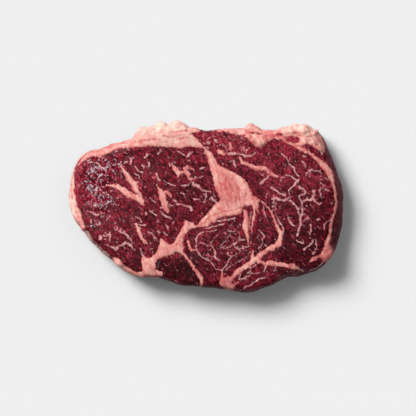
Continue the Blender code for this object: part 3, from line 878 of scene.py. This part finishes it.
class Nodes:
    """Short ways to write a material's nodes."""

    def __init__(self, name):
        self.material = bpy.data.materials.new(name)
        self.material.use_nodes = True
        self.tree = self.material.node_tree
        self.shader = self.tree.nodes["Principled BSDF"]
        coordinates = self.tree.nodes.new("ShaderNodeTexCoord")
        self.place = self.vector("SCALE", coordinates.outputs["Object"], scale=1 / MM)

    def feed(self, socket, value):
        if isinstance(value, bpy.types.NodeSocket):
            self.tree.links.new(value, socket)
        else:
            socket.default_value = value

    def vector(self, operation, a, b=None, scale=None):
        node = self.tree.nodes.new("ShaderNodeVectorMath")
        node.operation = operation
        self.feed(node.inputs[0], a)
        if b is not None:
            self.feed(node.inputs[1], b)
        if scale is not None:
            self.feed(node.inputs["Scale"], scale)
        return node.outputs["Vector"]

    def math(self, operation, a, b=0.0, c=0.0):
        node = self.tree.nodes.new("ShaderNodeMath")
        node.operation = operation
        for socket, value in zip(node.inputs, (a, b, c)):
            self.feed(socket, value)
        return node.outputs["Value"]

    def plus(self, a, b):
        return self.math("ADD", a, b)

    def times(self, a, b):
        return self.math("MULTIPLY", a, b)

    def plus_share(self, value, share, base):
        """The base plus this share of the value."""
        return self.math("MULTIPLY_ADD", value, share, base)

    def field(self, name):
        node = self.tree.nodes.new("ShaderNodeAttribute")
        node.attribute_name = name
        return node.outputs["Fac"]

    def wavy(self, size, amount):
        """The place, shifted to and fro in millimetres by soft noise, so that fibres drawn on it wave."""
        node = self.tree.nodes.new("ShaderNodeTexNoise")
        self.feed(node.inputs["Vector"], self.place)
        node.inputs["Scale"].default_value = 1 / size
        node.inputs["Detail"].default_value = 1.0
        centred = self.vector("SUBTRACT", node.outputs["Color"], (0.5, 0.5, 0.5))
        return self.vector("ADD", self.place, self.vector("SCALE", centred, scale=amount))

    def noise(self, size, detail=2.0, rough=0.5, stretch=None, offset=(0, 0, 0), warp=0.0, place=None):
        """Noise from 0 to 1, with features of this size in millimetres, drawn out along an axis at will."""
        place = self.vector("ADD", self.place if place is None else place, offset)
        if stretch:
            turn, ratio = stretch
            mapping = self.tree.nodes.new("ShaderNodeMapping")
            mapping.inputs["Rotation"].default_value = (0, 0, -math.radians(turn))
            self.feed(mapping.inputs["Vector"], place)
            place = self.vector("MULTIPLY", mapping.outputs["Vector"], (1 / ratio, 1, 1 / ratio))
        node = self.tree.nodes.new("ShaderNodeTexNoise")
        self.feed(node.inputs["Vector"], place)
        node.inputs["Scale"].default_value = 1 / size
        node.inputs["Detail"].default_value = detail
        node.inputs["Roughness"].default_value = rough
        node.inputs["Distortion"].default_value = warp
        return node.outputs["Fac"]

    def between(self, value, low, high, to_low=0.0, to_high=1.0):
        """A smooth step from to_low at low to to_high at high."""
        node = self.tree.nodes.new("ShaderNodeMapRange")
        node.interpolation_type = "SMOOTHSTEP"
        for name, setting in (("Value", value), ("From Min", low), ("From Max", high),
                              ("To Min", to_low), ("To Max", to_high)):
            self.feed(node.inputs[name], setting)
        return node.outputs["Result"]

    def ramp(self, value, stops):
        node = self.tree.nodes.new("ShaderNodeValToRGB")
        elements = node.color_ramp.elements
        while len(elements) < len(stops):
            elements.new(0.5)
        for element, (position, colour) in zip(elements, stops):
            element.position = position
            element.color = (*colour, 1)
        self.feed(node.inputs["Fac"], value)
        return node.outputs["Color"]

    def mix(self, share, a, b):
        node = self.tree.nodes.new("ShaderNodeMix")
        node.data_type = "RGBA"
        self.feed(node.inputs[0], share)
        for socket, value in ((node.inputs[6], a), (node.inputs[7], b)):
            self.feed(socket, (*value, 1) if isinstance(value, tuple) else value)
        return node.outputs[2]

    def bump(self, height, distance, strength, under=None):
        node = self.tree.nodes.new("ShaderNodeBump")
        node.inputs["Strength"].default_value = strength
        node.inputs["Distance"].default_value = distance
        self.feed(node.inputs["Height"], height)
        if under is not None:
            self.feed(node.inputs["Normal"], under)
        return node.outputs["Normal"]


# Colours of the meat: places on a ramp and their colours, then single colours.
LEAN_COLOURS = [
    (0.0, (0.022, 0.0008, 0.0024)), (0.35, (0.074, 0.0024, 0.0072)), (0.60, (0.158, 0.0065, 0.0170)),
    (0.80, (0.280, 0.0115, 0.0300)), (1.0, (0.430, 0.0320, 0.0600)),
]
FAT_COLOURS = [
    (0.0, (0.38, 0.060, 0.070)), (0.35, (0.66, 0.200, 0.185)), (0.62, (0.85, 0.365, 0.320)),
    (1.0, (0.96, 0.640, 0.540)),
]
VEIN_COLOURS = [(0.3, (0.66, 0.245, 0.255)), (0.68, (0.87, 0.490, 0.470))]
FILM_COLOURS = [(0.36, (0.200, 0.055, 0.075)), (0.66, (0.360, 0.160, 0.190))]
DRY_COLOURS = [(0.38, (0.32, 0.100, 0.080)), (0.62, (0.88, 0.600, 0.500))]
WEB_COLOUR = (0.45, 0.085, 0.115)
SPECK_COLOUR = (0.62, 0.240, 0.255)
CREAM_COLOUR = (0.96, 0.600, 0.500)
STRAND_COLOUR = (0.60, 0.105, 0.105)
# Painted shade in the cracks.
CRACK_SHADE_COLOUR = (0.060, 0.010, 0.011)
# Painted shade of the creases.
CREASE_SHADE_COLOUR = (0.052, 0.004, 0.007)
# Painted highlight on the wet fibres.
PAINTED_GLINT_COLOUR = (0.66, 0.500, 0.580)


def lean_colour(n, fibres, bundles):
    """Deep crimson, mottled bundle by bundle, with a fine pink web of fat and a film over the sides."""
    cloud = n.between(n.noise(9.0, 2.0, 0.5, offset=(3, 8, 5)), 0.3, 0.7, -0.13, 0.07)
    coarse = n.between(n.noise(2.8, 2.0, 0.55, stretch=(-50, 1.5), offset=(2, 2, 6)), 0.3, 0.7, -0.16, 0.16)
    mottle = n.plus(n.between(bundles, 0.34, 0.68, -0.38, 0.40), coarse)
    side = n.field("sideness")
    # Painted shade: the lean is made a little darker on the sides.
    tone = n.plus_share(side, -0.10, n.plus(n.plus(n.field("lean_tone"), cloud), mottle))
    lean = n.ramp(tone, LEAN_COLOURS)
    contour = n.noise(2.2, 2.0, 0.55, stretch=(-54, 2.0), offset=(2, 6, 1), place=fibres)
    web = n.between(n.math("ABSOLUTE", n.math("SUBTRACT", contour, 0.5)), 0.034, 0.008)
    patchy = n.between(n.noise(6.0, 2.0, 0.5, offset=(1, 2, 3)), 0.36, 0.60, 0.25, 1.0)
    lean = n.mix(n.times(n.times(web, patchy), n.field("marbling")), lean, WEB_COLOUR)
    speck = n.between(n.noise(1.3, 1.0, 0.5, stretch=(-52, 2.2), offset=(7, 2, 4)), 0.675, 0.705)
    lean = n.mix(n.times(speck, n.times(patchy, 0.62)), lean, SPECK_COLOUR)
    film = n.between(n.noise(6.0, 3.0, 0.6, stretch=(90, 1.6), offset=(5, 5, 2)), 0.36, 0.64, 0.30, 0.72)
    clouded = n.noise(2.2, 3.0, 0.6, offset=(3, 6, 6))
    return n.mix(n.times(side, film), lean, n.ramp(clouded, FILM_COLOURS))


def fat_colour(n, fat_gap, shift):
    """Cream where it is thick, pinker in thin seams and near the lean, with red strands."""
    thickness = n.between(fat_gap, 0.1, -1.5)
    cream = n.between(n.noise(4.2, 3.0, 0.55, offset=(7, 7, 1)), 0.3, 0.7, -0.15, 0.15)
    grainy = n.between(n.noise(1.1, 2.0, 0.6, stretch=(-60, 2.0), offset=(2, 7, 5)), 0.3, 0.7, -0.06, 0.06)
    tone = n.plus(n.field("fat_tone"), n.plus(cream, grainy))
    colour = n.ramp(n.plus(tone, n.plus_share(thickness, 0.28, -0.22)), FAT_COLOURS)
    down = n.noise(1.8, 2.0, 0.5, stretch=(-72, 5.0), offset=(8, 3, 6), warp=0.5)
    level = n.noise(1.5, 2.0, 0.5, stretch=(8, 7.0), offset=(3, 3, 8), warp=0.3)
    cap = n.field("cap")
    in_kernel = n.times(n.between(down, 0.51, 0.66, 0.0, 0.56), n.math("SUBTRACT", 1.0, cap))
    in_cap = n.times(n.between(level, 0.52, 0.70, 0.0, 0.34), cap)
    thread = n.between(n.plus(shift, n.field("thread_mm")), 0.5, -0.5, 0.0, 0.85)
    colour = n.mix(n.between(down, 0.46, 0.30, 0.0, 0.42), colour, CREAM_COLOUR)
    return n.mix(n.math("MAXIMUM", n.plus(in_kernel, in_cap), thread), colour, STRAND_COLOUR)


def marked(n, colour, shift, ragged):
    """The colour with painted shade in the cracks and along the creases, and painted highlights on the glints
    of wet fibre.
    """
    crack = n.between(n.plus_share(shift, 0.3, n.field("crack_mm")), 0.3, -0.3, 0.0, 0.85)
    crease = n.between(n.plus_share(shift, 0.4, n.field("crease_shade_mm")), 0.4, -0.4, 0.0, 0.70)
    glint = n.between(n.plus_share(ragged, 0.9, n.field("painted_glint_mm")), 0.06, -0.34, 0.0, 0.66)
    for share, mark in ((crack, CRACK_SHADE_COLOUR), (crease, CREASE_SHADE_COLOUR), (glint, PAINTED_GLINT_COLOUR)):
        colour = n.mix(share, colour, mark)
    return colour


def add_gloss(n, fat, dry):
    """A moist sheen, smoothest where the lean is wet and dull where it is dry, and a little inner light."""
    patches = n.noise(5.0, 3.0, 0.6, offset=(4, 4, 9))
    rough = n.plus_share(n.field("wet"), -0.30, n.between(patches, 0.3, 0.7, 0.46, 0.58))
    rough = n.plus_share(dry, 0.25, n.plus_share(fat, -0.04, rough))
    n.feed(n.shader.inputs["Roughness"], rough)
    n.shader.inputs["Specular IOR Level"].default_value = 0.15
    n.shader.inputs["Subsurface Weight"].default_value = 0.10
    n.shader.inputs["Subsurface Radius"].default_value = (1.0, 0.35, 0.25)
    n.shader.inputs["Subsurface Scale"].default_value = 0.0015


def meat_material():
    n = Nodes("raw_beef")
    wobble = n.between(n.noise(2.4, 3.0, 0.65), 0.28, 0.72, -0.42, 0.42)
    ragged = n.between(n.noise(0.9, 2.0, 0.6, offset=(9, 4, 2)), 0.28, 0.72, -0.34, 0.34)
    strands = n.noise(0.75, 2.0, 0.6, stretch=(-52, 3.0), offset=(1, 5, 2))
    fibrous = n.between(strands, 0.25, 0.75, -0.32, 0.32)
    shift = n.plus(n.plus(wobble, ragged), fibrous)
    frayed = n.plus_share(wobble, 0.4, n.plus(ragged, fibrous))
    fat_gap = n.plus_share(frayed, 0.85, n.field("fat_mm"))
    vein_gap = n.plus_share(frayed, 0.6, n.plus(n.field("vein_mm"), 0.15))
    broken = n.between(n.noise(3.4, 1.0, 0.5, offset=(6, 6, 3)), 0.36, 0.54, 0.55, 1.0)
    vein = n.times(n.between(vein_gap, 0.20, -0.26), broken)
    fat = n.between(fat_gap, 0.16, -0.22)
    dry = n.between(n.plus_share(shift, 0.7, n.field("dry_mm")), 0.3, -0.5, 0.0, 0.90)
    fibres = n.wavy(7.0, 7.0)
    bundles = n.noise(0.85, 3.0, 0.60, stretch=(-50, 2.6), offset=(5, 1, 7), place=fibres)

    colour = lean_colour(n, fibres, bundles)
    pale = n.ramp(n.noise(2.4, 2.0, 0.5, offset=(1, 9, 4)), VEIN_COLOURS)
    colour = n.mix(n.times(vein, 0.82), colour, pale)
    colour = n.mix(fat, colour, fat_colour(n, fat_gap, shift))
    tan = n.ramp(n.noise(1.6, 3.0, 0.6, offset=(4, 1, 8)), DRY_COLOURS)
    colour = n.mix(dry, colour, tan)
    n.feed(n.shader.inputs["Base Color"], marked(n, colour, shift, ragged))
    add_gloss(n, fat, dry)

    grain = n.noise(0.9, 3.0, 0.6, stretch=(45, 3.5), offset=(6, 2, 2))
    relief = n.bump(grain, 0.00003, 0.8)
    relief = n.bump(bundles, 0.00006, 0.8, under=relief)
    n.feed(n.shader.inputs["Normal"], relief)
    return n.material


def build_steak():
    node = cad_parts["steak"]
    mesh = steak_mesh(node)
    piece = bpy.data.objects.new("steak_meat", mesh)
    bpy.context.scene.collection.objects.link(piece)
    mesh.materials.append(meat_material())
    # The photo's floor shows no red light thrown back by the meat.
    piece.visible_diffuse = False
    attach(piece, "root")
    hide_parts("steak")
    return piece


# The studio: pale floor, a softbox with a bright middle high on the far left, a weak one on the far right.
# Each lamp: power, width of its disc in degrees, elevation, azimuth, whether it shows in reflections.
LAMPS = {
    "key_core": (2.95, 25.0, 42.0, 136.0, True),
    "key_soft": (0.92, 48.0, 42.0, 136.0, True),
    "fill": (0.28, 76.0, 48.0, 32.0, False),
}
ROOM_LIGHT = 0.12
FLOOR_SIZE = 6.0
FLOOR_SHADE = 0.86
FRAME_WIDTH = 285.3
LENS = 200.0
SENSOR = 36.0
AIM = (1.4, -1.0)
FACE_DEPTH = 1.5
CLIP_END = 10


def build_floor():
    mesh = bpy.data.meshes.new("floor")
    half = FLOOR_SIZE / 2
    corners = [(-half, -half, 0), (half, -half, 0), (half, half, 0), (-half, half, 0)]
    mesh.from_pydata(corners, [], [(0, 1, 2, 3)])
    floor = bpy.data.objects.new("floor", mesh)
    bpy.context.scene.collection.objects.link(floor)
    material = bpy.data.materials.new("pale_floor")
    material.use_nodes = True
    shader = material.node_tree.nodes["Principled BSDF"]
    shader.inputs["Base Color"].default_value = (FLOOR_SHADE, FLOOR_SHADE, FLOOR_SHADE, 1)
    shader.inputs["Roughness"].default_value = 0.9
    shader.inputs["Specular IOR Level"].default_value = 0.0
    mesh.materials.append(material)
    floor.visible_glossy = False


def build_lights():
    for name, (power, width, elevation, azimuth, in_reflections) in LAMPS.items():
        data = bpy.data.lights.new(name, "SUN")
        data.energy = power
        data.angle = math.radians(width)
        # Otherwise the floor is also lit through the steak, which its rays don't meet.
        data.cycles.use_multiple_importance_sampling = False
        lamp = bpy.data.objects.new(name, data)
        lamp.rotation_euler = (0, math.radians(90 - elevation), math.radians(azimuth))
        lamp.visible_glossy = in_reflections
        bpy.context.scene.collection.objects.link(lamp)
    world = bpy.data.worlds.new("room")
    world.use_nodes = True
    background = world.node_tree.nodes["Background"]
    background.inputs["Color"].default_value = (1, 1, 1, 1)
    background.inputs["Strength"].default_value = ROOM_LIGHT
    world.cycles_visibility.glossy = False
    bpy.context.scene.world = world


def build_camera():
    data = bpy.data.cameras.new("camera")
    data.lens = LENS
    data.sensor_width = SENSOR
    camera = bpy.data.objects.new("camera", data)
    distance = FRAME_WIDTH * LENS / SENSOR
    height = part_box("steak")[1].z / MM - FACE_DEPTH + distance
    camera.location = (AIM[0] * MM, AIM[1] * MM, height * MM)
    data.clip_end = CLIP_END
    bpy.context.scene.collection.objects.link(camera)
    bpy.context.scene.camera = camera


def main():
    bpy.context.scene.view_settings.view_transform = "Standard"
    build_steak()
    build_floor()
    build_lights()
    build_camera()


main()
